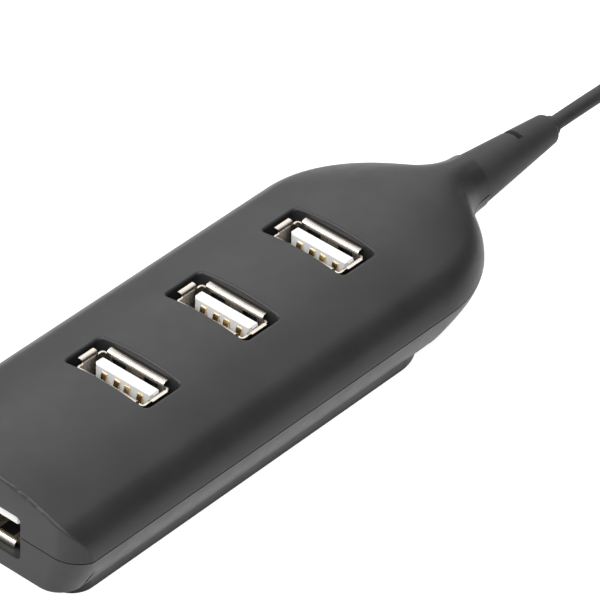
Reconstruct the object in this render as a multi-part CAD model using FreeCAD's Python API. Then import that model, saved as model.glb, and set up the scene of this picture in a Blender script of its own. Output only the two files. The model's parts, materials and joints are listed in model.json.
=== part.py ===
import FreeCAD, Part
import math
import os

# Four-port USB hub in a power-strip shape: three upright ports along the top, one port in the
# flat near end, and a captive cord leaving the tapered far end through a strain relief.
# Millimetres. X runs along the hub towards the cord, Y across it, Z up from the table.
# The origin is under the middle of the hub, strain relief included and cord left out.

V = FreeCAD.Vector
X_AXIS, Y_AXIS, Z_AXIS = V(1, 0, 0), V(0, 1, 0), V(0, 0, 1)
ORIGIN = V(0, 0, 0)

# ---- driving dimensions -------------------------------------------------------------------
HUB_LENGTH = 128.4        # near end face to the tip of the strain relief
HALF_WIDTH = 19.05        # at the parting line
TOP_Z = 17.45             # crown of the top
PARTING_Z = 8.5           # joint between the two housings; also the height of the cord's axis
FOOT_Z = 1.54             # underside of the hull, which stands on a raised foot
WALL = 1.8
NEAR_X = -HUB_LENGTH / 2
TIP_X = HUB_LENGTH / 2

CORNER_R = 5.35           # corners of the near end, in plan; they meet the sides at a faint edge
CORNER_Y = 14.2           # their centres
CORNER_FOOT_R = 4.2       # the same corners at the level of the underside
CORNER_FOOT_Y = 11.65
SHOULDER_X = NEAR_X + 81.0
SHOULDER_R = 21.5         # rounded shoulders, in plan
SWEEP_END_X = NEAR_X + 107.4  # where the hollow sweep from the shoulders ends in a straight neck
CROWN_END_X = NEAR_X + 113.5  # where the falling crown would reach the neck's height, past its end
NECK_X = NEAR_X + 107.7   # end of the neck
NECK_R = 4.45
SIDE_R = 9.0              # the top's section: a side arc, a corner arc and a crown arc,
SIDE_TURN = math.radians(5.0)
CORNER_TURN = math.radians(64.0)
LOFT_X = SHOULDER_X - 2.0 # where the straight body ends and the shoulders' loft begins
STATIONS = 14             # sections along that loft
BELLY_HALF = 15.85        # half width of the underside, at its edge
BELLY_MID = 17.75         # half width halfway down the slanted lower side
NECK_FLAT = 0.3           # half width of the flat left under the neck
FOOT_HALF = 15.85
FOOT_START_X = NEAR_X + 2.4
FOOT_END_X = NEAR_X + 83.0
FOOT_NEAR_R = 4.0
FOOT_FAR_R = 9.0
FOOT_JOIN = 0.5           # how far the foot reaches up into the hull
GROOVE = 0.2              # shadow gap along the parting line
GROOVE_DEPTH = 0.3
LIP = 0.8                 # locating lip of the bottom housing
LIP_HEIGHT = 1.1
LIP_BACK = 0.2            # inner face of the lip behind the wall's inner face
EDGE_R = 0.65             # rounded edge between the top and the near end face
FIT = 0.05                # play between pieces that fit together
CLEAR = 0.15              # looser play

PORT_PITCH = 21.4
PORT_1_X = NEAR_X + 29.75
TOP_PORTS = [PORT_1_X + i * PORT_PITCH for i in range(3)]
RECESS_LONG = 15.8        # opening in the housing round each port
RECESS_SHORT = 7.7
RECESS_R = 0.9
RECESS_LEDGE_Z = TOP_Z - 4.2  # ledge that holds the shell
RECESS_EDGE_R = 0.45      # rounding of its top edge
RIB = 1.2                 # rib round each shell, under the top
RIB_Z = 10.1

# standard USB-A receptacle
SHELL_LONG = 13.1
SHELL_SHORT = 5.72
SHEET = 0.3
SHELL_R = 0.6
TONGUE_LONG = 11.3
TONGUE_THICK = 1.9
TONGUE_SINK = 0.05        # tongue's front edge behind the shell's rim
CONTACT_OFFSETS = (-3.5, -1.0, 1.0, 3.5)
CONTACT_WIDTH = 1.0
CONTACT_THICK = 0.25
TONGUE_BEVEL = 0.3
TONGUE_CORNER = 0.45
BLOCK_HEIGHT = 1.6        # back block of the insulator
TAB_OUT = 0.75            # lead-in tabs rolled outward at the rim
TAB_ROLL = 0.35           # inner radius of the roll
TAB_LONG = 11.0
TAB_SHORT = 3.2
FINGER_WIDTH = 2.2        # spring fingers pressed out of the shell
FINGER_LENGTH = 5.0
FINGER_BEND = 0.45
FINGER_SLIT = 0.3
FINGER_Y = 3.1
FINGER_DROP = 2.4         # tip of a finger below the rim
WINDOW_DROP = 0.25        # top of the window round a finger, below the rim
LEG_WIDTH = 1.6
LEG_LENGTH = 2.6
LEG_Y = SHELL_LONG / 2 - SHEET / 2
PIN_WIDTH = 0.6
LAID_LEG_BACK = 4.0       # legs of the lying receptacle, ahead of its back

BOARD_TOP = 5.2
BOARD_THICK = 1.2
BOARD_BOTTOM = BOARD_TOP - BOARD_THICK
BOARD_HALF = 14.4
BOARD_START_X = NEAR_X + 9.6
BOARD_END_X = NEAR_X + 83.5
BOARD_CORNER_R = 3.5
POST_R = 1.6
POSTS = [(NEAR_X + along, y) for along in (18.0, 40.0, 62.0) for y in (-11.5, 11.5)]
SOLDER = 0.9              # height of a solder joint
RIM_Z = 15.6              # rim of the upright ports
UPRIGHT_DEPTH = RIM_Z - BOARD_TOP
END_RIM_X = NEAR_X + 2.0
END_DEPTH = 13.6
END_BACK_X = END_RIM_X + END_DEPTH
END_Z = BOARD_TOP + SHELL_SHORT / 2

CONTROLLER_X = PORT_1_X + PORT_PITCH / 2
CONTROLLER_HALF_X = 2.7
CONTROLLER_HALF_Y = 5.0
CONTROLLER_HEIGHT = 1.75
LEAD_PITCH = 1.27
LEAD_WIDTH = 0.4
LEADS_PER_SIDE = 8
LEAD_PROFILE = [(2.7, 1.0), (3.3, 1.0), (3.55, 0.2), (4.1, 0.2),
                (4.1, 0.0), (3.4, 0.0), (3.15, 0.8), (2.7, 0.8)]
CRYSTAL_X = CONTROLLER_X + PORT_PITCH
CRYSTAL_CAN = (10.2, 3.8, 2.9)
CRYSTAL_BRIM = 0.4
CRYSTAL_BASE = 0.6
BULK_X, BULK_Y = TOP_PORTS[2] + 9.0, 8.5
BULK_R = 2.5
BULK_HEIGHT = 6.6
BULK_BASE = 0.4
CHIP = (1.6, 0.8)         # length and width of the small surface-mount pieces
CHIP_Y = 8.0
CAPACITOR_HEIGHT = 0.8
RESISTOR_HEIGHT = 0.45

FLOOR_Z = 1.9             # inside floor over the foot
SCREWS = ((NEAR_X + 20.8, 0.0), (NEAR_X + 88.0, 9.6), (NEAR_X + 88.0, -9.6))
SCREW_R = 1.1
SCREW_HEAD_R = 2.1
SCREW_HEAD = 1.5
SCREW_LENGTH = 9.0
SCREW_POINT = 1.5         # length of its pointed end
SCREW_SLOT = (1.3, 0.3, 0.8)
BOSS_R = 2.7
COUNTERBORE_R = 2.5
COUNTERBORE_Z = 3.4

CORD_D = 2.5
CORD_R = CORD_D / 2
SLEEVE_R = 4.3            # strain relief where it leaves the neck
SLEEVE_TIP_R = 2.6
SLEEVE_END_X = TIP_X - 1.2
NIB_R = 1.65
NIB_BEVEL = 0.2
FLANGE_R = 4.1            # flange of the strain relief, clamped inside the neck
FLANGE_X = NECK_X - 10.0
FLANGE_THICK = 2.0
CAVITY_END_X = FLANGE_X - 1.5
INNER_SLEEVE_R = 2.8
SLEEVE_SLOT_X = NEAR_X + 118.9
SLEEVE_SLOT = 1.1
SLEEVE_CORE_R = 1.35      # left solid between the slots
INNER_SLEEVE_X = FLANGE_X - 2.5
WIRE_D = 0.9
WIRE_PADS = [(BOARD_END_X - 3.0, y) for y in (-4.5, -1.5, 1.5, 4.5)]

# route of the cord, from the strain relief to its coil, and from the coil to the plug
LEAD_ROUTE = [(64.2, 0.0, 8.5), (71.0, 0.0, 8.5), (83.0, 0.8, 7.2), (96.0, 3.8, 4.4), (108.0, 9.6, 2.3),
              (119.5, 16.6, 1.8)]
COIL_X, COIL_Y = 132.0, 0.0
COIL_R = 16.6             # centre line of the outermost turn
COIL_TURNS = 5.5
COIL_LOW_Z = 1.8          # centre line of the lower layer
COIL_INNER_R = COIL_R - CORD_D * COIL_TURNS / 2
COIL_PLAY = 0.1           # the coil's solid outside its outermost cords
COIL_ROUND = 0.9
TAIL_ROUTE = [(132.0, -16.6, 4.35), (126.3, -17.3, 4.35), (120.5, -19.0, 4.35),
              (114.5, -19.0, 4.35)]
TIE_WIDTH = 4.0
TIE_THICK = 0.5
TIE_ANGLE = 35.0

PLUG_X, PLUG_Y, PLUG_Z = TAIL_ROUTE[-1]
PLUG_BODY = (24.0, 15.8, 8.6)
PLUG_TAIL = 7.0
PLUG_ROUND = 2.2
PLUG_BACK_ROUND = 1.2
PLUG_GRIPS = (-12.0, -14.0, -16.0)
PLUG_GRIP = (0.7, 0.3)    # width and depth of each grip groove
PLUG_RINGS = (-5.2, -3.4, -1.6)
PLUG_RING_R = 1.75        # bottom of the flex rings on the plug's tail
PLUG_SHELL = (11.75, 12.0, 4.5)
PLUG_ROOT = 4.0           # how far the plug's metal shell goes into the moulding
PLUG_SLAB = 1.95          # thickness of the plastic in the plug's shell
PLUG_HOLE = (2.5, 2.0)
PLUG_HOLE_Y = 2.95
PLUG_HOLE_X = -6.2        # ahead of the moulding
PLUG_CONTACT = (7.5, 1.0)


# ---- small helpers ------------------------------------------------------------------------
def save(name, shape):
    """Write one node, refusing a shape that isn't whole."""
    assert shape.isValid() and shape.Solids, name
    shape.exportStep("parts/" + name + ".step")
    print(f"{name:26s} {len(shape.Solids)} solid(s) {shape.Volume:10.1f} mm3")


def block(x0, x1, y0, y1, z0, z1):
    return Part.makeBox(x1 - x0, y1 - y0, z1 - z0, V(x0, y0, z0))


def rod(r, height, x, y, z, axis=Z_AXIS):
    return Part.makeCylinder(r, height, V(x, y, z), axis)


def fuse_all(shapes):
    return shapes[0].multiFuse(shapes[1:]).removeSplitter()


def face_of(points):
    return Part.Face(Part.makePolygon(points + points[:1]))


def edges_along(shape, axis):
    """Straight edges that run along a row axis."""
    return [e for e in shape.Edges if abs(e.tangentAt(e.FirstParameter).dot(axis)) > 0.9]


def rounded_bar(long, short, radius, z0, z1):
    """Upright bar centred on the Z axis, its short side along X."""
    bar = block(-short / 2, short / 2, -long / 2, long / 2, z0, z1)
    return bar.makeFillet(radius, edges_along(bar, Z_AXIS))


def at(shape, x, y=0.0, z=0.0):
    return shape.translated(V(x, y, z))


# ---- outer form of the hub ----------------------------------------------------------------
def plan_edges(inset):
    """Outline in plan, inset by a wall: one side from the near end to the neck, then its mirror."""
    w, r1, r2 = HALF_WIDTH - inset, SHOULDER_R - inset, neck_sweep() + inset
    corner = CORNER_R - inset
    x0, neck = NEAR_X + inset, NECK_R - inset
    corner_c = V(x0 + corner, CORNER_Y, 0)
    corner_turn = math.asin((w - CORNER_Y) / corner)
    corner_points = [corner_c + V(-math.cos(t), math.sin(t), 0) * corner
                     for t in (0, corner_turn / 2, corner_turn)]
    c1 = V(SHOULDER_X, w - r1, 0)
    c2 = V(SWEEP_END_X, neck + r2, 0)
    meet = c1 + (c2 - c1) * (r1 / (r1 + r2))
    turn = math.acos((meet.y - c1.y) / r1) / 2
    mid1 = c1 + V(math.sin(turn), math.cos(turn), 0) * r1
    mid2 = c2 - V(math.sin(turn), math.cos(turn), 0) * r2
    side = [
        Part.Arc(*corner_points).toShape(),
        Part.makeLine(corner_points[-1], V(SHOULDER_X, w, 0)),
        Part.Arc(V(SHOULDER_X, w, 0), mid1, meet).toShape(),
        Part.Arc(meet, mid2, V(SWEEP_END_X, neck, 0)).toShape(),
        Part.makeLine(V(SWEEP_END_X, neck, 0), V(NECK_X, neck, 0)),
    ]
    ends = [Part.makeLine(V(x0, -CORNER_Y, 0), V(x0, CORNER_Y, 0)),
            Part.makeLine(V(NECK_X, neck, 0), V(NECK_X, -neck, 0))]
    return side + ends + [mirrored(edge) for edge in side]


def neck_sweep():
    """Radius of the hollow curve that joins the shoulder's arc to the neck, tangent to both."""
    run = SWEEP_END_X - SHOULDER_X
    rise = NECK_R - (HALF_WIDTH - SHOULDER_R)
    return (run ** 2 + rise ** 2 - SHOULDER_R ** 2) / (2 * (SHOULDER_R - rise))


def plan_solid(inset, z0, z1):
    wire = Part.Wire(Part.__sortEdges__(plan_edges(inset)))
    return at(Part.Face(wire).extrude(V(0, 0, z1 - z0)), 0, 0, z0)


def half_width(x):
    """Half width of the outer form at the parting line."""
    sweep = neck_sweep()
    y1, y2 = HALF_WIDTH - SHOULDER_R, NECK_R + sweep
    meet = SHOULDER_X + (SWEEP_END_X - SHOULDER_X) * SHOULDER_R / (SHOULDER_R + sweep)
    if x <= SHOULDER_X:
        return HALF_WIDTH
    if x <= meet:
        return y1 + math.sqrt(SHOULDER_R ** 2 - (x - SHOULDER_X) ** 2)
    return y2 - math.sqrt(sweep ** 2 - (SWEEP_END_X - min(x, SWEEP_END_X)) ** 2)


def fullness(x, end_x):
    """1 along the body, falling smoothly from the shoulders on to 0 at end_x."""
    t = min(max((x - SHOULDER_X) / (end_x - SHOULDER_X), 0.0), 1.0)
    return 1 - t * t * (3 - 2 * t)


def upper_section(x, inset):
    """Crowned upper outline: tangent arcs that stand upright on the parting plane."""
    full = fullness(x, CROWN_END_X)
    w = half_width(x) - inset
    h = NECK_R + (TOP_Z - PARTING_Z - NECK_R) * full - inset
    side = NECK_R + (SIDE_R - NECK_R) * full - inset
    a, b = SIDE_TURN, SIDE_TURN + CORNER_TURN
    across, up = w - side * (1 - math.cos(a)), h - side * math.sin(a)
    c, s = math.cos(a) - math.cos(b), math.sin(b) - math.sin(a)
    whole = c * (1 - math.sin(b)) - math.cos(b) * s
    corner = (across * (1 - math.sin(b)) - math.cos(b) * up) / whole
    crown = (c * up - s * across) / whole
    side_c = V(x, w - side, PARTING_Z)
    corner_c = side_c + spoke(side - corner, a)
    crown_c = corner_c + spoke(corner - crown, b)
    right = [arc(side_c, side, 0, a), arc(corner_c, corner, a, b)]
    left = [mirrored(edge) for edge in reversed(right)]
    return closed_section(right + [arc(crown_c, crown, b, math.pi - b)] + left)


def lower_section(x, inset):
    """Lower outline: sides slanting in to a flat underside, or a half circle at the neck."""
    full = fullness(x, SWEEP_END_X)
    w = half_width(x) - inset
    h = NECK_R + (PARTING_Z - FOOT_Z - NECK_R) * full - inset
    middle = w * (BELLY_MID / HALF_WIDTH * full + math.sqrt(0.75) * (1 - full))
    low = w * BELLY_HALF / HALF_WIDTH * full + NECK_FLAT * (1 - full)
    side = Part.Arc(V(x, w, PARTING_Z), V(x, middle, PARTING_Z - h / 2), V(x, low, PARTING_Z - h)).toShape()
    bottom = Part.makeLine(V(x, low, PARTING_Z - h), V(x, -low, PARTING_Z - h))
    return closed_section([side, bottom, mirrored(side)])


def spoke(radius, angle):
    """Vector across a section, at an angle up from +Y."""
    return V(0, radius * math.cos(angle), radius * math.sin(angle))


def arc(centre, radius, start, end):
    return Part.Arc(*(centre + spoke(radius, t) for t in (start, (start + end) / 2, end))).toShape()


def mirrored(edge):
    return edge.mirror(ORIGIN, Y_AXIS)


def closed_section(edges):
    """One closed wire: a chain of edges and the straight line that shuts it on the parting plane."""
    ends = [v.Point for v in (edges[0].Vertexes + edges[-1].Vertexes) if abs(v.Z - PARTING_Z) < 1e-6]
    return Part.Wire(Part.__sortEdges__(edges + [Part.makeLine(ends[0], ends[-1])]))


def hull_half(section, inset, start_x, end_x):
    """Straight body and lofted shoulder of one housing, as one solid."""
    body = Part.Face(section(start_x, inset)).extrude(V(LOFT_X - start_x, 0, 0))
    step = (end_x - LOFT_X) / STATIONS
    sections = [section(LOFT_X + i * step, inset) for i in range(STATIONS + 1)]
    shoulder = Part.makeLoft(sections, True, False, False, 3)
    return fuse_all([body, shoulder])


def corner_outline(inset, radius, y, z):
    """What a rounded corner of the near end takes away at one level."""
    x0, r = NEAR_X + inset, radius - inset
    centre, beyond = V(x0 + r, y, z), V(x0 - 1, HALF_WIDTH + 1, z)
    start, middle, end = [centre + V(-math.cos(t), math.sin(t), 0) * r for t in (0, math.pi / 4, math.pi / 2)]
    corners = [end, V(end.x, beyond.y, z), beyond, V(beyond.x, start.y, z), start]
    lines = [Part.makeLine(a, b) for a, b in zip(corners, corners[1:])]
    return Part.Wire(Part.__sortEdges__([Part.Arc(start, middle, end).toShape()] + lines))


def upper_hull(inset, end_x):
    """Form of the top, or of its hollow, with upright rounded corners at the near end."""
    outline = corner_outline(inset, CORNER_R, CORNER_Y, 0)
    return cut_corners(hull_half(upper_section, inset, NEAR_X + inset, end_x),
                       Part.Face(outline).extrude(V(0, 0, TOP_Z + 1)))


def lower_hull(inset, end_x):
    """Form of the bottom, or of its hollow: its rounded corners lean in with its slanted sides."""
    outlines = [corner_outline(inset, CORNER_FOOT_R, CORNER_FOOT_Y, FOOT_Z),
                corner_outline(inset, CORNER_R, CORNER_Y, PARTING_Z)]
    return cut_corners(hull_half(lower_section, inset, NEAR_X + inset, end_x),
                       Part.makeLoft(outlines, True, True))


def cut_corners(hull, cutter):
    return hull.cut(cutter.fuse(cutter.mirror(ORIGIN, Y_AXIS)))


def parting_groove():
    z0, z1 = PARTING_Z - GROOVE / 2, PARTING_Z + GROOVE / 2
    return plan_solid(-1.0, z0, z1).cut(plan_solid(GROOVE_DEPTH, z0 - 1, z1 + 1))


def lip_ring(play, inner):
    """Locating lip that stands on the bottom housing, or the rebate for it in the top one."""
    outside = plan_solid(WALL - LIP - play, PARTING_Z, PARTING_Z + LIP_HEIGHT + play)
    ring = outside.cut(plan_solid(inner, PARTING_Z - 1, PARTING_Z + LIP_HEIGHT + 1))
    return ring.common(block(NEAR_X, FLANGE_X - 6, -HALF_WIDTH, HALF_WIDTH, 0, TOP_Z))


def neck_bore():
    """Seat of the strain relief through the neck of both housings."""
    bore = rod(INNER_SLEEVE_R + FIT, NECK_X - FLANGE_X + 6, FLANGE_X - 4, 0, PARTING_Z, X_AXIS)
    groove = rod(FLANGE_R + FIT, FLANGE_THICK + 2 * FIT, FLANGE_X - FIT, 0, PARTING_Z, X_AXIS)
    return bore.fuse(groove)


# ---- openings round the ports -------------------------------------------------------------
def cut_recesses(hull):
    """Wide openings above the upright ports, down to the ledges, with rounded top edges."""
    wide = rounded_bar(RECESS_LONG, RECESS_SHORT, RECESS_R, RECESS_LEDGE_Z, TOP_Z + 2)
    opened = hull.cut(at(wide, TOP_PORTS[0]).multiFuse([at(wide, x) for x in TOP_PORTS[1:]]))
    rims = [e for e in opened.Edges if is_recess_rim(e.BoundBox)]
    return opened.makeFillet(RECESS_EDGE_R, rims)


def is_recess_rim(box):
    """An edge where a recess meets the crown: small in plan, and well above the ledge."""
    middle = (box.XMin + box.XMax) / 2
    beside = min(abs(middle - x) for x in TOP_PORTS) < RECESS_SHORT / 2 + 0.01
    return beside and max(-box.YMin, box.YMax) < RECESS_LONG / 2 + 0.01 and box.ZMin > RECESS_LEDGE_Z + 1


def shell_passage():
    """Close fit round an upright shell, below the ledge of its recess."""
    return rounded_bar(SHELL_LONG + 2 * CLEAR, SHELL_SHORT + 2 * CLEAR, SHELL_R, 0, RECESS_LEDGE_Z + 1)


def end_opening():
    """Opening of the end port through the near wall."""
    bar = rounded_bar(RECESS_LONG, RECESS_SHORT, RECESS_R, -WALL - 1, WALL + 3)
    bar.rotate(ORIGIN, Y_AXIS, 90)
    return at(bar, NEAR_X, 0, END_Z)


def port_rib():
    """Rib round each upright port under the top, which holds its shell."""
    return rounded_bar(RECESS_LONG + 2 * RIB, RECESS_SHORT + 2 * RIB, RECESS_R + RIB, RIB_Z, TOP_Z)


# ---- housings -----------------------------------------------------------------------------
def top_housing():
    outer = soften_near_edge(upper_hull(0.0, NECK_X))
    opened = cut_recesses(outer)
    shell = opened.cut(upper_hull(WALL, CAVITY_END_X))
    ribs = [at(port_rib(), x) for x in TOP_PORTS]
    bosses = [rod(BOSS_R, TOP_Z, x, y, 0) for x, y in SCREWS]
    shell = fuse_all([shell] + [piece.common(opened) for piece in ribs + bosses])
    tools = [at(shell_passage(), x) for x in TOP_PORTS]
    tools += [rod(SCREW_R + FIT, SCREW_LENGTH, x, y, COUNTERBORE_Z) for x, y in SCREWS]
    tools += [end_opening(), neck_bore(), parting_groove(), lip_ring(FIT, WALL + 1.0)]
    return shell.cut(tools[0].multiFuse(tools[1:]))


def soften_near_edge(hull):
    """Round the edge between the crowned top and the near end."""
    edges = []
    for edge in hull.Edges:
        box = edge.BoundBox
        upright = abs(edge.tangentAt(edge.FirstParameter).z) > 0.9999
        if box.XMax < NEAR_X + CORNER_R and box.ZMax > PARTING_Z + 0.01 and not upright:
            edges.append(edge)
    return hull.makeFillet(EDGE_R, edges)


def foot_block(inset, z0, z1):
    """The raised foot that the hub stands on, or its inside."""
    x0, x1, w = FOOT_START_X + inset, FOOT_END_X - inset, FOOT_HALF - inset
    foot = block(x0, x1, -w, w, z0, z1)
    near = [e for e in edges_along(foot, Z_AXIS) if e.CenterOfMass.x < x0 + 0.01]
    foot = foot.makeFillet(FOOT_NEAR_R - inset, near)
    far = [e for e in edges_along(foot, Z_AXIS) if e.BoundBox.XMin > x1 - 0.01]
    return foot.makeFillet(FOOT_FAR_R - inset, far)


def board_posts():
    """Posts that the circuit board rests on, rooted in the floor."""
    root = FLOOR_Z - 0.5
    return [rod(POST_R, BOARD_BOTTOM - root, x, y, root) for x, y in POSTS]


def bottom_housing():
    outer = fuse_all([lower_hull(0.0, NECK_X), foot_block(0, 0, FOOT_Z + FOOT_JOIN)])
    hollow = lower_hull(WALL, CAVITY_END_X).fuse(foot_block(WALL, FLOOR_Z, PARTING_Z - 2))
    shell = outer.cut(hollow)
    bosses = [rod(BOSS_R, PARTING_Z - 1 - FOOT_Z - FIT, x, y, FOOT_Z) for x, y in SCREWS]
    inside = outer.common(block(NEAR_X, TIP_X, -HALF_WIDTH, HALF_WIDTH, 0, PARTING_Z))
    bosses = [boss.common(inside) for boss in bosses]
    shell = fuse_all([shell, lip_ring(0.0, WALL - LIP_BACK)] + bosses + board_posts())
    tools = [rod(SCREW_R + CLEAR, PARTING_Z, x, y, FOOT_Z) for x, y in SCREWS]
    tools += [rod(COUNTERBORE_R, COUNTERBORE_Z + 1, x, y, -1) for x, y in SCREWS]
    tools += [end_opening(), neck_bore(), parting_groove()]
    return shell.cut(tools[0].multiFuse(tools[1:]))


def case_screws():
    """Self-tapping screws that pull the housings together, with cross slots."""
    return Part.makeCompound([case_screw(x, y) for x, y in SCREWS])


def case_screw(x, y):
    low = COUNTERBORE_Z - SCREW_HEAD
    head = rod(SCREW_HEAD_R, SCREW_HEAD, x, y, low)
    head = head.makeFillet(0.5, [e for e in head.Edges if e.BoundBox.ZMax < low + 0.1])
    shank = rod(SCREW_R, SCREW_LENGTH - SCREW_POINT, x, y, COUNTERBORE_Z)
    tip_z = COUNTERBORE_Z + SCREW_LENGTH - SCREW_POINT
    tip = Part.makeCone(SCREW_R, 0.3, SCREW_POINT, V(x, y, tip_z))
    reach, half, depth = SCREW_SLOT
    cross = [block(x - a, x + a, y - b, y + b, low - 1, low + depth)
             for a, b in ((reach, half), (half, reach))]
    return fuse_all([head, shank, tip]).cut(cross[0].fuse(cross[1]))


# ---- receptacles --------------------------------------------------------------------------
# Each is built standing up at the origin: its back at Z 0, its mouth at Z depth, its long side
# along Y, and its contacts on the side of the tongue that faces -X.
def receptacle_shell(depth):
    outer = rounded_bar(SHELL_LONG, SHELL_SHORT, SHELL_R, 0, depth)
    inner = rounded_bar(SHELL_LONG - 2 * SHEET, SHELL_SHORT - 2 * SHEET, SHELL_R - SHEET, -1, depth + 1)
    shell = outer.cut(inner)
    half = SHELL_SHORT / 2
    for y in (-FINGER_Y, FINGER_Y):
        for turn in (0, 180):
            shell = shell.cut(set_on_side(finger_window(depth), half, y, turn))
            shell = shell.fuse(set_on_side(spring_finger(depth), half, y, turn))
    tabs = [set_on_side(lead_in_tab(TAB_LONG, depth), half, 0, turn) for turn in (0, 180)]
    tabs += [set_on_side(lead_in_tab(TAB_SHORT, depth), SHELL_LONG / 2, 0, turn) for turn in (90, 270)]
    legs = [set_on_side(mounting_leg(), SHELL_LONG / 2, 0, turn) for turn in (90, 270)]
    return fuse_all([shell] + tabs + legs)


def set_on_side(shape, out, y, turn):
    """Move a piece made on the inside face of a wall at X 0 to a wall of the shell."""
    placed = at(shape, out, y, 0)
    placed.rotate(ORIGIN, Z_AXIS, turn)
    return placed


def lead_in_tab(width, depth):
    """Lip of the rim, rolled outward through a quarter turn to guide the plug in."""
    half, top = width / 2, depth + TAB_ROLL + SHEET
    bend = [rod(r, width, TAB_ROLL, -half, depth, Y_AXIS) for r in (TAB_ROLL + SHEET, TAB_ROLL)]
    roll = bend[0].cut(bend[1]).common(block(-SHEET, TAB_ROLL, -half, half, depth, top))
    return roll.fuse(block(TAB_ROLL, TAB_OUT, -half, half, top - SHEET, top))


def finger_window(depth):
    low = depth - FINGER_DROP - FINGER_LENGTH
    half = FINGER_WIDTH / 2 + FINGER_SLIT
    return block(-SHEET - 0.5, 0.5, -half, half, low, depth - WINDOW_DROP)


def spring_finger(depth):
    """Finger bent inward and back out, rooted at the bottom of its window."""
    low = depth - FINGER_DROP - FINGER_LENGTH
    knee = low + FINGER_LENGTH * 0.7
    top = low + FINGER_LENGTH
    profile = [V(-SHEET, 0, low - 0.1), V(0, 0, low - 0.1), V(0, 0, low), V(-FINGER_BEND, 0, knee),
               V(-SHEET, 0, top), V(-2 * SHEET, 0, top), V(-FINGER_BEND - SHEET, 0, knee),
               V(-SHEET, 0, low)]
    return at(face_of(profile).extrude(V(0, FINGER_WIDTH, 0)), 0, -FINGER_WIDTH / 2, 0)


def mounting_leg():
    """Leg that goes through the circuit board."""
    return block(-SHEET, 0, -LEG_WIDTH / 2, LEG_WIDTH / 2, -LEG_LENGTH, 0.5)


def contact_strips(depth):
    """Four contacts on the tongue, each with a domed touch point near the mouth and a pin."""
    strips = []
    top = depth - TONGUE_SINK - 0.9
    profile = [V(0, 0, 0), V(0, 0, top), V(-CONTACT_THICK, 0, top - 0.3),
               V(-2 * CONTACT_THICK, 0, top - 1.4), V(-CONTACT_THICK, 0, top - 2.6),
               V(-CONTACT_THICK, 0, 0)]
    for y in CONTACT_OFFSETS:
        blade = at(face_of(profile).extrude(V(0, CONTACT_WIDTH, 0)), 0, y - CONTACT_WIDTH / 2, 0)
        pin = block(-CONTACT_THICK, 0, y - PIN_WIDTH / 2, y + PIN_WIDTH / 2, -LEG_LENGTH, 0.5)
        strips.append(blade.fuse(pin).removeSplitter())
    return Part.makeCompound(strips)


def insulator(depth):
    """Back block and tongue, with the tongue's front edges bevelled."""
    play = SHEET + 0.1
    base = rounded_bar(SHELL_LONG - 2 * play, SHELL_SHORT - 2 * play, 0.3, 0, BLOCK_HEIGHT)
    half = TONGUE_LONG / 2
    front = depth - TONGUE_SINK
    tongue = block(0, TONGUE_THICK, -half, half, 0, front)
    tongue = tongue.makeChamfer(TONGUE_BEVEL, [e for e in tongue.Edges if e.BoundBox.ZMin > front - 0.01])
    tongue = tongue.makeChamfer(TONGUE_CORNER, edges_along(tongue, Z_AXIS))
    return fuse_all([base, tongue]).cut(contact_strips(depth))


def receptacle(depth):
    return {"shell": receptacle_shell(depth),
            "insulator": insulator(depth),
            "contacts": contact_strips(depth)}


def lay_down(shape):
    """Turn a standing receptacle so that its mouth faces -X and its contacts face down."""
    turned = shape.copy()
    turned.rotate(ORIGIN, Y_AXIS, -90)
    return at(turned, END_BACK_X, 0, END_Z)


def end_receptacle():
    """Receptacle lying on the board; its pins and legs turn down through the board."""
    keep = block(-20, 20, -20, 20, 0, END_DEPTH + 2)
    laid = {name: lay_down(shape.common(keep)) for name, shape in receptacle(END_DEPTH).items()}
    low = BOARD_TOP - LEG_LENGTH
    legs = [block(x - LEG_WIDTH / 2, x + LEG_WIDTH / 2, y - SHEET / 2, y + SHEET / 2, low, END_Z)
            for x, y in end_leg_places()]
    laid["shell"] = fuse_all([laid["shell"]] + legs)
    laid["contacts"] = Part.makeCompound([turn_down(strip, low) for strip in laid["contacts"].Solids])
    laid["insulator"] = laid["insulator"].cut(laid["contacts"])
    return laid


def turn_down(strip, low):
    """Add the pin that turns down behind a lying contact."""
    back, thick = END_BACK_X, CONTACT_THICK
    y0, y1 = strip.CenterOfMass.y - PIN_WIDTH / 2, strip.CenterOfMass.y + PIN_WIDTH / 2
    pin = block(back, back + thick, y0, y1, low, END_Z)
    bend = block(back - SHEET, back + thick, y0, y1, END_Z - thick, END_Z)
    return fuse_all([strip, bend, pin])


# ---- circuit board and what is on it ------------------------------------------------------
def pin_places():
    upright = [(x - CONTACT_THICK / 2, y) for x in TOP_PORTS for y in CONTACT_OFFSETS]
    return upright + [(END_BACK_X + CONTACT_THICK / 2, y) for y in CONTACT_OFFSETS]


def end_leg_places():
    x = END_BACK_X - LAID_LEG_BACK + LEG_WIDTH / 2
    return [(x, -LEG_Y), (x, LEG_Y)]


def leg_places():
    return [(x, y) for x in TOP_PORTS for y in (-LEG_Y, LEG_Y)] + end_leg_places()


def circuit_board():
    board = block(BOARD_START_X, BOARD_END_X, -BOARD_HALF, BOARD_HALF, BOARD_BOTTOM, BOARD_TOP)
    board = board.makeFillet(BOARD_CORNER_R, edges_along(board, Z_AXIS))
    through = BOARD_BOTTOM - 1
    holes = [rod(0.45, BOARD_THICK + 2, x, y, through) for x, y in pin_places()]
    holes += [block(x - 1.1, x + 1.1, y - 0.4, y + 0.4, through, BOARD_TOP + 1) for x, y in leg_places()]
    holes += [rod(BOSS_R + 0.4, BOARD_THICK + 2, x, y, through) for x, y in SCREWS]
    return board.cut(holes[0].multiFuse(holes[1:]))


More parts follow.
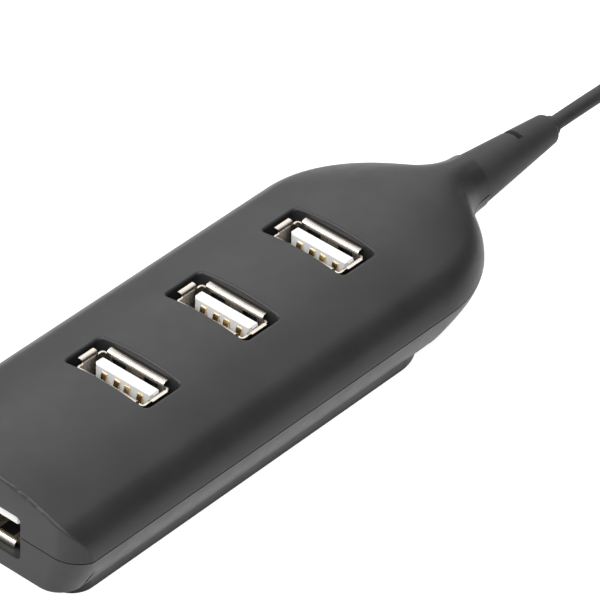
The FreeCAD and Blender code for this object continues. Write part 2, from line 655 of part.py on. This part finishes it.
def solder_joints():
    """Cone of solder round each pin and leg under the board, and round each wire on its pad."""
    joints = []
    low = BOARD_BOTTOM - SOLDER
    for x, y in pin_places():
        pin = block(x - CONTACT_THICK / 2, x + CONTACT_THICK / 2, y - PIN_WIDTH / 2, y + PIN_WIDTH / 2, 0, 9)
        joints.append(Part.makeCone(0.4, 0.85, SOLDER, V(x, y, low)).cut(pin))
    for x, y in leg_places():
        leg = block(x - LEG_WIDTH / 2, x + LEG_WIDTH / 2, y - SHEET / 2, y + SHEET / 2, 0, 9)
        joints.append(Part.makeCone(0.9, 1.5, SOLDER, V(x, y, low)).cut(leg))
    for x, y in WIRE_PADS:
        wire = rod(WIRE_D / 2, 2, x, y, BOARD_TOP - 0.5)
        joints.append(Part.makeCone(1.1, 0.7, SOLDER, V(x, y, BOARD_TOP)).cut(wire))
    return Part.makeCompound(joints)


def hub_controller():
    """Surface-mount hub controller between the first two upright ports, with its pin 1 dimple."""
    x, top = CONTROLLER_X, BOARD_TOP + CONTROLLER_HEIGHT
    a, b = CONTROLLER_HALF_X, CONTROLLER_HALF_Y
    body = block(x - a, x + a, -b, b, BOARD_TOP + 0.12, top)
    body = body.makeChamfer(0.2, [e for e in body.Edges if e.BoundBox.ZMin > top - 0.01])
    return body.cut(rod(0.5, 1, x - a + 1.1, b - 1, top - 0.15))


def controller_leads():
    leads = []
    for i in range(LEADS_PER_SIDE):
        y = (i - (LEADS_PER_SIDE - 1) / 2) * LEAD_PITCH - LEAD_WIDTH / 2
        for side in (-1, 1):
            face = face_of([V(CONTROLLER_X + side * a, y, BOARD_TOP + b) for a, b in LEAD_PROFILE])
            leads.append(face.extrude(V(0, LEAD_WIDTH, 0)))
    return Part.makeCompound(leads)


def crystal():
    """Flat steel can on a wider base."""
    long, short, height = CRYSTAL_CAN
    step = BOARD_TOP + CRYSTAL_BASE
    can = rounded_bar(long, short, short / 2 - 0.05, BOARD_TOP, step + height)
    long, short = long + 2 * CRYSTAL_BRIM, short + 2 * CRYSTAL_BRIM
    base = rounded_bar(long, short, short / 2 - 0.05, BOARD_TOP, step)
    return at(fuse_all([can, base]), CRYSTAL_X)


def bulk_capacitor():
    can = rod(BULK_R, BULK_HEIGHT, BULK_X, BULK_Y, BOARD_TOP + BULK_BASE)
    can = can.makeFillet(0.3, [e for e in can.Edges if e.BoundBox.ZMin > BOARD_TOP + BULK_HEIGHT])
    return fuse_all([can, rod(BULK_R + 0.2, BULK_BASE, BULK_X, BULK_Y, BOARD_TOP)])


def chips(places, height):
    """Small surface-mount pieces: blocks with a bevelled top."""
    made = []
    length, width = CHIP
    top = BOARD_TOP + height
    for x, y in places:
        chip = block(x - length / 2, x + length / 2, y - width / 2, y + width / 2, BOARD_TOP, top)
        made.append(chip.makeChamfer(0.08, [e for e in chip.Edges if e.BoundBox.ZMin > top - 0.01]))
    return Part.makeCompound(made)


def beside_ports(offset):
    return [(x + offset, side * CHIP_Y) for x in TOP_PORTS for side in (-1, 1)]


# ---- cord ---------------------------------------------------------------------------------
def route_wire(points, report):
    """Straight runs joined by tangent arcs, each as large as its two runs allow."""
    points = [V(*p) for p in points]
    edges, start, radii = [], points[0], []
    for before, corner, after in zip(points, points[1:], points[2:]):
        to_corner, from_corner = corner - before, after - corner
        shorter = min(to_corner.Length, from_corner.Length)
        half = to_corner.getAngle(from_corner) / 2
        reach = 0.45 * shorter
        radius = reach / math.tan(half)
        radii.append(radius)
        enter = corner - to_corner.normalize() * reach
        leave = corner + from_corner.normalize() * reach
        inward = (enter + leave) * 0.5 - corner
        middle = corner + inward.normalize() * (radius / math.cos(half) - radius)
        edges += [Part.LineSegment(start, enter).toShape(), Part.Arc(enter, middle, leave).toShape()]
        start = leave
    edges.append(Part.LineSegment(start, points[-1]).toShape())
    wire = Part.Wire(edges)
    print(report, "radii", [round(r, 1) for r in radii], "length", round(wire.Length, 1))
    return wire


def tube(points, diameter, report):
    wire = route_wire(points, report)
    start, heading = V(*points[0]), V(*points[1]) - V(*points[0])
    profile = Part.Wire(Part.makeCircle(diameter / 2, start, heading))
    swept = wire.makePipeShell([profile], True, False)
    expected = wire.Length * math.pi * diameter ** 2 / 4
    print(report, "volume", round(swept.Volume, 2), "expected", round(expected, 2))
    return swept


def coil_radii():
    """Inner and outer radius of the coil's solid."""
    return COIL_INNER_R - CORD_R - COIL_PLAY, COIL_R + CORD_R + COIL_PLAY


def coil_solid():
    """Outer shape of the wound cord: a ring that holds both layers of turns."""
    low = COIL_LOW_Z - CORD_R
    height = 2 * CORD_D + COIL_PLAY
    inner_r, outer_r = coil_radii()
    ring = rod(outer_r, height, COIL_X, COIL_Y, low).cut(rod(inner_r, height + 2, COIL_X, COIL_Y, low - 1))
    return ring.makeFillet(COIL_ROUND, [e for e in ring.Edges if isinstance(e.Curve, Part.Circle)])


def cord_tie(coil):
    """Twist tie wrapped once round the coil."""
    low, high = coil.BoundBox.ZMin, coil.BoundBox.ZMax
    inner_r, outer_r = coil_radii()
    thick, half = TIE_THICK, TIE_WIDTH / 2
    band = block(inner_r - thick, outer_r + thick, -half, half, low - thick, high + thick)
    band = band.makeFillet(COIL_ROUND, edges_along(band, Y_AXIS))
    hole = block(inner_r, outer_r, -TIE_WIDTH, TIE_WIDTH, low, high)
    band = band.cut(hole.makeFillet(COIL_ROUND - 0.3, edges_along(hole, Y_AXIS)))
    band.rotate(ORIGIN, Z_AXIS, TIE_ANGLE)
    return at(band, COIL_X, COIL_Y).cut(coil)


def strain_relief():
    """Sleeve moulded on the cord: inner sleeve and flange in the neck, tapered sleeve outside."""
    neck = NECK_X + FIT
    flange_end = FLANGE_X + FLANGE_THICK
    tip_round = SLEEVE_TIP_R - NIB_R
    before_tip = [(INNER_SLEEVE_X, 0), (INNER_SLEEVE_X, INNER_SLEEVE_R), (FLANGE_X, INNER_SLEEVE_R),
                  (FLANGE_X, FLANGE_R), (flange_end, FLANGE_R), (flange_end, INNER_SLEEVE_R),
                  (neck, INNER_SLEEVE_R), (neck, SLEEVE_R), (SLEEVE_END_X - tip_round, SLEEVE_TIP_R)]
    after_tip = [(SLEEVE_END_X, NIB_R), (TIP_X - NIB_BEVEL, NIB_R), (TIP_X, NIB_R - NIB_BEVEL), (TIP_X, 0),
                 (INNER_SLEEVE_X, 0)]
    diagonal = tip_round * math.sqrt(0.5)
    middle = (SLEEVE_END_X - tip_round + diagonal, NIB_R + diagonal)
    edges = [Part.Arc(*(V(x, 0, r) for x, r in (before_tip[-1], middle, after_tip[0]))).toShape()]
    for chain in (before_tip, after_tip):
        edges += [Part.makeLine(V(a, 0, b), V(c, 0, d)) for (a, b), (c, d) in zip(chain, chain[1:])]
    sleeve = Part.Face(Part.Wire(Part.__sortEdges__(edges))).revolve(ORIGIN, X_AXIS, 360)
    return at(sleeve.cut(sleeve_slots()), 0, 0, PARTING_Z)


def sleeve_slots():
    """Two slots that let the sleeve flex, one in its far upper side and one below, about the X axis."""
    half = SLEEVE_SLOT / 2
    slots = []
    for turn in (45, 290):
        slot = block(SLEEVE_SLOT_X - half, SLEEVE_SLOT_X + half, SLEEVE_CORE_R, 6, -6, 6)
        slot.rotate(ORIGIN, X_AXIS, turn)
        slots.append(slot)
    return slots[0].fuse(slots[1])


def wires():
    """The cord's four cores, from the strain relief to their pads on the board."""
    names = ("wire_power", "wire_data_minus", "wire_data_plus", "wire_ground")
    return {name: tube(core_route(x, y), WIRE_D, name) for name, (x, y) in zip(names, WIRE_PADS)}


def core_route(pad_x, pad_y):
    """Cores leave the sleeve two above two, spread out, and drop on their pads."""
    out = math.copysign(0.75, pad_y)
    lift = 0.75 if abs(pad_y) > 2 else -0.75
    level = PARTING_Z + 0.4
    return [(INNER_SLEEVE_X, out, PARTING_Z + lift),
            (INNER_SLEEVE_X - 3.5, out, PARTING_Z + lift),
            (INNER_SLEEVE_X - 7.0, pad_y * 0.75 + out * 0.2, level + lift * 0.5),
            (pad_x + 3.0, pad_y, level),
            (pad_x, pad_y, level - 0.6),
            (pad_x, pad_y, BOARD_TOP)]


# ---- plug ---------------------------------------------------------------------------------
# The plug lies flat with its cord end at PLUG_X and its metal end towards -X.
def plug_moulding():
    length, width, height = PLUG_BODY
    grip = block(-length, -PLUG_TAIL, -width / 2, width / 2, -height / 2, height / 2)
    grip = grip.makeFillet(PLUG_ROUND, edges_along(grip, X_AXIS))
    grip = grip.makeFillet(PLUG_BACK_ROUND, [e for e in grip.Edges if e.BoundBox.XMin > -PLUG_TAIL - 0.01])
    half, deep = PLUG_GRIP[0] / 2, PLUG_GRIP[1]
    grooves = [block(x - half, x + half, -width, width, side * height / 2 - deep, side * height / 2 + deep)
               for x in PLUG_GRIPS for side in (-1, 1)]
    tail = Part.makeCone(2.9, 1.9, PLUG_TAIL + 1, V(-PLUG_TAIL - 1, 0, 0), X_AXIS)
    rings = [rod(4, 0.7, x, 0, 0, X_AXIS).cut(rod(PLUG_RING_R, 0.7, x, 0, 0, X_AXIS)) for x in PLUG_RINGS]
    whole = fuse_all([grip.cut(grooves[0].multiFuse(grooves[1:])), tail.cut(rings[0].multiFuse(rings[1:]))])
    return at_plug(whole.cut(plug_tube(0.0, 0.0)))


def at_plug(shape):
    return at(shape, PLUG_X, PLUG_Y, PLUG_Z)


def plug_tube(inset, over):
    """Outline of the plug's metal shell, or of its inside, which runs over both ends."""
    length, width, height = PLUG_SHELL
    front = -PLUG_BODY[0] - length - over
    w, h = width / 2 - inset, height / 2 - inset
    bar = block(front, -PLUG_BODY[0] + PLUG_ROOT + over, -w, w, -h, h)
    return bar.makeFillet(0.5 - inset, edges_along(bar, X_AXIS))


def plug_shell():
    shell = plug_tube(0.0, 0.0).cut(plug_tube(SHEET, 1.0))
    x, half_x, half_y = -PLUG_BODY[0] + PLUG_HOLE_X, PLUG_HOLE[0] / 2, PLUG_HOLE[1] / 2
    holes = [block(x - half_x, x + half_x, y - half_y, y + half_y, -9, 9)
             for y in (-PLUG_HOLE_Y, PLUG_HOLE_Y)]
    return at_plug(shell.cut(holes[0].fuse(holes[1])))


def plug_contact_strips():
    """Contacts let into the plastic, standing 0.1 proud of it."""
    length, width = PLUG_CONTACT
    front = -PLUG_BODY[0] - PLUG_SHELL[0] + 1.0
    top = -PLUG_SHELL[2] / 2 + SHEET + PLUG_SLAB
    strips = [block(front, front + length, y - width / 2, y + width / 2, top - 0.2, top + 0.1)
              for y in CONTACT_OFFSETS]
    return Part.makeCompound([at_plug(strip) for strip in strips])


def plug_insulator():
    """Slab along the shell's lower half, with a full-height back."""
    front = -PLUG_BODY[0] - PLUG_SHELL[0] + 0.4
    back = -PLUG_BODY[0] + PLUG_ROOT
    low = -PLUG_SHELL[2] / 2 + SHEET
    half = PLUG_SHELL[1] / 2 - SHEET - CLEAR
    slab = block(front, back, -half, half, low + 0.02, low + PLUG_SLAB)
    rear = block(-PLUG_BODY[0] - 1.0, back, -half, half, low + 0.02, -low - 0.02)
    return at_plug(fuse_all([slab, rear])).cut(plug_contact_strips())


# ---- assembly -----------------------------------------------------------------------------
def main():
    os.makedirs("parts", exist_ok=True)
    save("top_housing", top_housing())
    save("bottom_housing", bottom_housing())
    save("case_screws", case_screws())
    for kind, shape in end_receptacle().items():
        save("port_end_" + kind, shape)
    for number, x in enumerate(TOP_PORTS, 1):
        for kind, shape in receptacle(UPRIGHT_DEPTH).items():
            save(f"port_{number}_{kind}", at(shape, x, 0, BOARD_TOP))
    save("circuit_board", circuit_board())
    save("solder_joints", solder_joints())
    save("hub_controller", hub_controller())
    save("hub_controller_leads", controller_leads())
    save("crystal", crystal())
    save("bulk_capacitor", bulk_capacitor())
    save("chip_capacitors", chips(beside_ports(4.6), CAPACITOR_HEIGHT))
    save("chip_resistors", chips(beside_ports(6.6)[:4] + beside_ports(-4.6)[2:], RESISTOR_HEIGHT))
    for name, shape in wires().items():
        save(name, shape)
    save("strain_relief", strain_relief())
    coil = coil_solid()
    save("cord_tube", tube(LEAD_ROUTE + [(COIL_X, COIL_Y + COIL_R, COIL_LOW_Z)], CORD_D, "lead").cut(coil))
    save("cord_coil", coil)
    save("cord_tie", cord_tie(coil))
    save("cord_tail", tube(TAIL_ROUTE, CORD_D, "tail").cut(coil))
    save("plug_moulding", plug_moulding())
    save("plug_shell", plug_shell())
    save("plug_insulator", plug_insulator())
    save("plug_contacts", plug_contact_strips())


main()
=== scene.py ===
import json
import math

import bpy
from mathutils import Matrix, Vector


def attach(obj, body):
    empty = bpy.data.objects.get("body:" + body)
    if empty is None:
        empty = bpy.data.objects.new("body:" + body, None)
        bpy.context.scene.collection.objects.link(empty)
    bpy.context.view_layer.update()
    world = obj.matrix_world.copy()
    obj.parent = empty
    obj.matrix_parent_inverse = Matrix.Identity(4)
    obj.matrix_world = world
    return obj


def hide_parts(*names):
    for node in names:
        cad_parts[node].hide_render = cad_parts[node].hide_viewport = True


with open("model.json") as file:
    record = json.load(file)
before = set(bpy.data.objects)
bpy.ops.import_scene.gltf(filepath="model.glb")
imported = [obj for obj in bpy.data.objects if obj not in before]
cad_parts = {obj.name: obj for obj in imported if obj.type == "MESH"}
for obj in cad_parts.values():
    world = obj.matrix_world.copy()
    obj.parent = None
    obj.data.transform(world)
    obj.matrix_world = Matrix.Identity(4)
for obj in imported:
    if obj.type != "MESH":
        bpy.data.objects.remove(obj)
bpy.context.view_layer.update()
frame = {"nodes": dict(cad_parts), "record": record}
MM = 0.001

# ---- camera -------------------------------------------------------------------------------
scene = bpy.context.scene
RIGHT = Vector((0.65720585, -0.75291297, 0.03467753))
UP = Vector((0.44545053, 0.42511753, 0.78793966))
BACK = RIGHT.cross(UP)
EYE = Vector((-0.516256, -0.430439, 0.534447))

camera_data = bpy.data.cameras.new("camera")
camera_data.sensor_width = 36.0
camera_data.lens = 346.22
camera_data.clip_start, camera_data.clip_end = 0.05, 50.0
camera = bpy.data.objects.new("camera", camera_data)
scene.collection.objects.link(camera)
axes = Matrix((RIGHT, UP, BACK)).transposed()
camera.matrix_world = Matrix.Translation(EYE) @ axes.to_4x4()
scene.camera = camera

# ---- cord ---------------------------------------------------------------------------------
# All in mm.
CORD_D = 2.5
LOW_Z, HIGH_Z = 1.8, 4.35    # centre lines of the coil's two layers
LEAD = [(64.2, 0.0, 8.5), (71.0, 0.0, 8.5), (83.0, 0.8, 7.2), (96.0, 3.8, 4.4), (108.0, 9.6, 2.3),
        (119.5, 16.6, LOW_Z)]
COIL_CENTRE = (132.0, 0.0)
COIL_R = 16.6
COIL_TURNS = 5.5
TURN_POINTS = 16
CLIMB_TURNS = 1 / 3          # the stretch over which the cord climbs to the upper layer
TAIL = [(126.3, -17.3, HIGH_Z), (120.5, -19.0, HIGH_Z), (114.5, -19.0, HIGH_Z)]


def coil_points():
    """Wound in clockwise on the floor, then out again on top of itself."""
    count = int(COIL_TURNS * TURN_POINTS)
    step = 2 * math.pi / TURN_POINTS
    hull = 1 / (0.75 + 0.25 * math.cos(step))    # the curve runs inside its points by this much
    points = []
    for i in range(count + 1):
        turn = i / TURN_POINTS
        inward = min(turn, COIL_TURNS - turn)
        radius = (COIL_R - CORD_D * inward) * hull
        climb = min(max((turn - COIL_TURNS / 2) / CLIMB_TURNS + 0.5, 0), 1)
        angle = math.pi / 2 - i * step
        points.append((COIL_CENTRE[0] + radius * math.cos(angle), COIL_CENTRE[1] + radius * math.sin(angle),
                       LOW_Z + (HIGH_Z - LOW_Z) * climb * climb * (3 - 2 * climb)))
    return points


def cord_curve(name, points, diameter):
    curve = bpy.data.curves.new(name, "CURVE")
    curve.dimensions = "3D"
    spline = curve.splines.new("NURBS")
    spline.points.add(len(points) - 1)
    for point, co in zip(spline.points, points):
        point.co = (co[0] * MM, co[1] * MM, co[2] * MM, 1)
        point.radius = MM
    spline.order_u = 3
    spline.use_endpoint_u = True
    spline.resolution_u = 8
    curve.bevel_depth = diameter / 2   # times each point's radius of one thousandth
    curve.bevel_resolution = 6
    curve.use_fill_caps = True
    piece = bpy.data.objects.new(name, curve)
    scene.collection.objects.link(piece)
    return piece


cord = cord_curve("cord", LEAD + coil_points() + TAIL, CORD_D)
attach(cord, "root")
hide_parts("cord_tube", "cord_coil", "cord_tail")


# ---- materials ----------------------------------------------------------------------------
NOISE_SPAN = (0.3, 0.7)      # where nearly all of a noise's values lie
OPEN_SPAN = (0.3, 0.8)       # openness inside a pit, and on a face that counts as open
PIT_SHADE_SPECULAR = (0.05, 0.5)      # specular level for those two: turned down in pits and slots as painted shade
PLASTIC_IOR = 1.33


class Nodes:
    """A small wrapper that makes a material's nodes and links."""

    def __init__(self, name):
        self.material = bpy.data.materials.new(name)
        self.material.use_nodes = True
        self.tree = self.material.node_tree
        self.shader = self.tree.nodes["Principled BSDF"]
        self.place = self.tree.nodes.new("ShaderNodeTexCoord").outputs["Object"]

    def add(self, kind, **settings):
        node = self.tree.nodes.new(kind)
        for key, value in settings.items():
            setattr(node, key, value)
        return node

    def link(self, output, node_input):
        self.tree.links.new(output, node_input)

    def stretched(self, scale):
        mapping = self.add("ShaderNodeMapping")
        mapping.inputs["Scale"].default_value = scale
        self.link(self.place, mapping.inputs["Vector"])
        return mapping.outputs["Vector"]

    def noise(self, size_mm, detail=2.0, rough=0.5, vector=None):
        """Noise whose blobs are about size_mm across."""
        node = self.add("ShaderNodeTexNoise")
        node.inputs["Scale"].default_value = 1000.0 / size_mm
        node.inputs["Detail"].default_value = detail
        node.inputs["Roughness"].default_value = rough
        self.link(vector or self.place, node.inputs["Vector"])
        return node.outputs["Fac"]

    def between(self, fac, span, out):
        """Maps the span onto the two values of out, and keeps what lies outside it at its ends."""
        node = self.add("ShaderNodeMapRange")
        for key, value in zip(("From Min", "From Max", "To Min", "To Max"), (*span, *out)):
            node.inputs[key].default_value = value
        self.link(fac, node.inputs["Value"])
        return node.outputs["Result"]

    def tint(self, fac, dark, light):
        """From dark to light across a noise's usual span."""
        node = self.add("ShaderNodeValToRGB")
        for element, position, colour in zip(node.color_ramp.elements, NOISE_SPAN, (dark, light)):
            element.position = position
            element.color = (*colour, 1)
        self.link(fac, node.inputs["Fac"])
        return node.outputs["Color"]

    def openness(self, reach_mm):
        """1 on open faces, falling in slots and pits narrower than the reach; drives the painted shade in
        pits.
        """
        node = self.add("ShaderNodeAmbientOcclusion", samples=8)
        node.inputs["Distance"].default_value = reach_mm * MM
        return node.outputs["AO"]

    def bump(self, height, distance_mm, strength=1.0, after=None):
        node = self.add("ShaderNodeBump")
        node.inputs["Strength"].default_value = strength
        node.inputs["Distance"].default_value = distance_mm * MM
        self.link(height, node.inputs["Height"])
        if after:
            self.link(after, node.inputs["Normal"])
        self.link(node.outputs["Normal"], self.shader.inputs["Normal"])
        return node.outputs["Normal"]

    def set(self, **values):
        for key, value in values.items():
            socket = self.shader.inputs[key.replace("_", " ")]
            socket.default_value = (*value, 1) if isinstance(value, tuple) and len(value) == 3 else value


def plastic(name, dark, light, rough, grain_mm, grain_depth, cloud_mm=9.0, pit_shade_mm=0.0):
    """Moulded plastic: fine spark texture, faint clouding of colour and gloss, and painted shade inside
    pits, where the specular level is turned down.
    """
    n = Nodes(name)
    cloud = n.noise(cloud_mm, 3.0)
    n.link(n.tint(cloud, dark, light), n.shader.inputs["Base Color"])
    # painted shade: the specular level falls where occlusion is high, which darkens pits and slots
    if pit_shade_mm:
        n.link(n.between(n.openness(pit_shade_mm), OPEN_SPAN, PIT_SHADE_SPECULAR), n.shader.inputs["Specular IOR Level"])
    n.link(n.between(n.noise(2.5, 4.0), NOISE_SPAN, rough), n.shader.inputs["Roughness"])
    coarse = n.bump(n.noise(grain_mm * 3.0, 2.0), grain_depth, 0.5)
    n.bump(n.noise(grain_mm, 3.0, 0.6), grain_depth, 1.0, coarse)
    n.set(IOR=PLASTIC_IOR)
    return n.material


def metal(name, dark, light, rough, line_mm, depth, along=(1.0, 1.0, 1.0)):
    """Drawn or plated metal: fine lines along one way, faint tarnish."""
    n = Nodes(name)
    tarnish = n.noise(2.2, 4.0)
    n.link(n.tint(tarnish, dark, light), n.shader.inputs["Base Color"])
    lines = n.noise(line_mm, 2.0, 0.5, n.stretched(along))
    n.link(n.between(lines, NOISE_SPAN, rough), n.shader.inputs["Roughness"])
    n.bump(lines, depth)
    n.set(Metallic=1.0)
    return n.material


def circuit_board():
    """Solder mask over copper: tracks show as raised, lighter lines."""
    n = Nodes("solder_mask")
    tracks = n.add("ShaderNodeTexBrick", offset=0.37, squash=1.6, squash_frequency=3)
    tracks.inputs["Scale"].default_value = 160.0
    tracks.inputs["Mortar Size"].default_value = 0.035
    tracks.inputs["Color1"].default_value = (0.012, 0.085, 0.030, 1)
    tracks.inputs["Color2"].default_value = (0.016, 0.110, 0.038, 1)
    tracks.inputs["Mortar"].default_value = (0.035, 0.205, 0.070, 1)
    n.link(n.place, tracks.inputs["Vector"])
    n.link(tracks.outputs["Color"], n.shader.inputs["Base Color"])
    n.link(n.between(n.noise(1.5, 3.0), NOISE_SPAN, (0.22, 0.34)), n.shader.inputs["Roughness"])
    n.bump(tracks.outputs["Fac"], 0.03)
    return n.material


WIRE_FINISH = (0.28, 0.38), 0.30, 0.004    # roughness from and to, grain and its depth, in mm
MATERIALS = {
    "housing_black": plastic("satin_black_abs", (0.020, 0.020, 0.021), (0.025, 0.025, 0.026),
                             (0.36, 0.42), 0.16, 0.006, pit_shade_mm=2.5),
    "port_shell_tin": metal("tin_plate", (0.42, 0.385, 0.34), (0.48, 0.44, 0.395),
                            (0.25, 0.31), 0.12, 0.0003, (1, 1, 0.08)),
    "port_insulator_white": plastic("white_nylon", (0.60, 0.60, 0.59), (0.66, 0.66, 0.65),
                                    (0.40, 0.50), 0.10, 0.003),
    "contact_gold": metal("gold_plate", (0.82, 0.59, 0.31), (0.95, 0.73, 0.44),
                          (0.24, 0.34), 0.08, 0.0005, (1, 1, 0.1)),
    "board_green": circuit_board(),
    "solder_grey": metal("solder", (0.52, 0.52, 0.54), (0.70, 0.70, 0.71), (0.22, 0.45), 0.30, 0.010),
    "chip_black": plastic("mould_compound", (0.018, 0.018, 0.019), (0.026, 0.026, 0.027),
                          (0.52, 0.62), 0.08, 0.004, 3.0),
    "can_steel": metal("drawn_steel", (0.50, 0.50, 0.51), (0.64, 0.64, 0.65),
                       (0.24, 0.40), 0.10, 0.003, (0.1, 1, 1)),
    "can_aluminium": metal("drawn_aluminium", (0.62, 0.62, 0.64), (0.76, 0.76, 0.78),
                           (0.26, 0.40), 0.09, 0.003, (1, 1, 0.1)),
    "ceramic_tan": plastic("sintered_ceramic", (0.40, 0.27, 0.15), (0.52, 0.37, 0.23),
                           (0.50, 0.62), 0.05, 0.003, 0.6),
    "screw_black": metal("black_zinc", (0.045, 0.045, 0.050), (0.10, 0.10, 0.11), (0.28, 0.46), 0.15, 0.004),
    "wire_red": plastic("red_pvc", (0.42, 0.015, 0.015), (0.55, 0.022, 0.022), *WIRE_FINISH),
    "wire_white": plastic("white_pvc", (0.74, 0.74, 0.72), (0.82, 0.82, 0.80), *WIRE_FINISH),
    "wire_green": plastic("green_pvc", (0.015, 0.22, 0.04), (0.022, 0.30, 0.06), *WIRE_FINISH),
    "wire_black": plastic("black_pvc", (0.014, 0.014, 0.014), (0.020, 0.020, 0.020), *WIRE_FINISH),
    "cord_black": plastic("soft_black_pvc", (0.026, 0.026, 0.027), (0.034, 0.034, 0.035),
                          (0.50, 0.60), 0.22, 0.006, 5.0, pit_shade_mm=1.5),
    "tie_black": plastic("tie_black_pvc", (0.014, 0.014, 0.014), (0.020, 0.020, 0.020),
                         (0.34, 0.44), 0.20, 0.005),
}


def finish_piece(piece, material):
    piece.data.materials.clear()
    piece.data.materials.append(material)


SEAM = 2e-6                        # points this near, in metres, are one
SHARP_ANGLE = math.radians(38)     # faces that meet more sharply keep their edge


def shade_across_faces(piece):
    """Join the seams between faces, so that shading runs on over them and stops at real edges."""
    for name in ("custom_normal", "sharp_edge", "sharp_face"):
        if name in piece.data.attributes:
            piece.data.attributes.remove(piece.data.attributes[name])
    weld = piece.modifiers.new("weld", "WELD")
    weld.merge_threshold = SEAM
    split = piece.modifiers.new("split", "EDGE_SPLIT")
    split.split_angle = SHARP_ANGLE
    weight = piece.modifiers.new("weight", "WEIGHTED_NORMAL")
    weight.mode = "FACE_AREA"
    weight.weight = 50


for part in frame["record"]["subparts"]:
    node = frame["nodes"][part["node"]]
    finish_piece(node, MATERIALS[part["material_slot"]])
    shade_across_faces(node)
finish_piece(cord, MATERIALS["cord_black"])

# ---- floor and light ----------------------------------------------------------------------
FLOOR_SIZE = 6.0
FLOOR_Z = -0.1 * MM          # just clear of the foot
bpy.ops.mesh.primitive_plane_add(size=FLOOR_SIZE, location=(0, 0, FLOOR_Z))
floor = bpy.context.object
floor.name = "floor"
pale = Nodes("pale_floor")
pale.set(Base_Color=(0.30, 0.30, 0.30), Roughness=0.9, Specular_IOR_Level=0.1,
         Emission_Color=(1.0, 1.0, 1.0), Emission_Strength=0.92)
finish_piece(floor, pale.material)


def softbox(name, at, aim, size, watts):
    """White area light; places and sizes in metres."""
    light = bpy.data.lights.new(name, "AREA")
    light.shape = "RECTANGLE"
    light.size, light.size_y = size
    light.energy = watts
    lamp = bpy.data.objects.new(name, light)
    scene.collection.objects.link(lamp)
    lamp.location = at
    lamp.rotation_euler = (Vector(aim) - Vector(at)).to_track_quat("-Z", "Y").to_euler()


softbox("overhead", (0.3, 0.8, 1.1), (0.3, 0.8, 0), (3.0, 2.6), 32)
softbox("far", (0.95, 0.78, 0.75), (0, 0, 0), (0.9, 1.3), 4)
softbox("key", (-1.0, -0.9, 1.1), (0, 0, 0), (0.9, 0.9), 12)
softbox("near", (-0.9, -0.1, 1.2), (0, 0, 0), (0.8, 0.8), 10)
softbox("left", (-0.9, 0.8, 0.85), (0, 0, 0), (0.7, 1.6), 19)

world = bpy.data.worlds.new("studio")
world.use_nodes = True
background = world.node_tree.nodes["Background"].inputs
background["Color"].default_value = (1, 1, 1, 1)
background["Strength"].default_value = 0.05
scene.world = world
scene.view_settings.view_transform = "Standard"

bpy.context.view_layer.update()
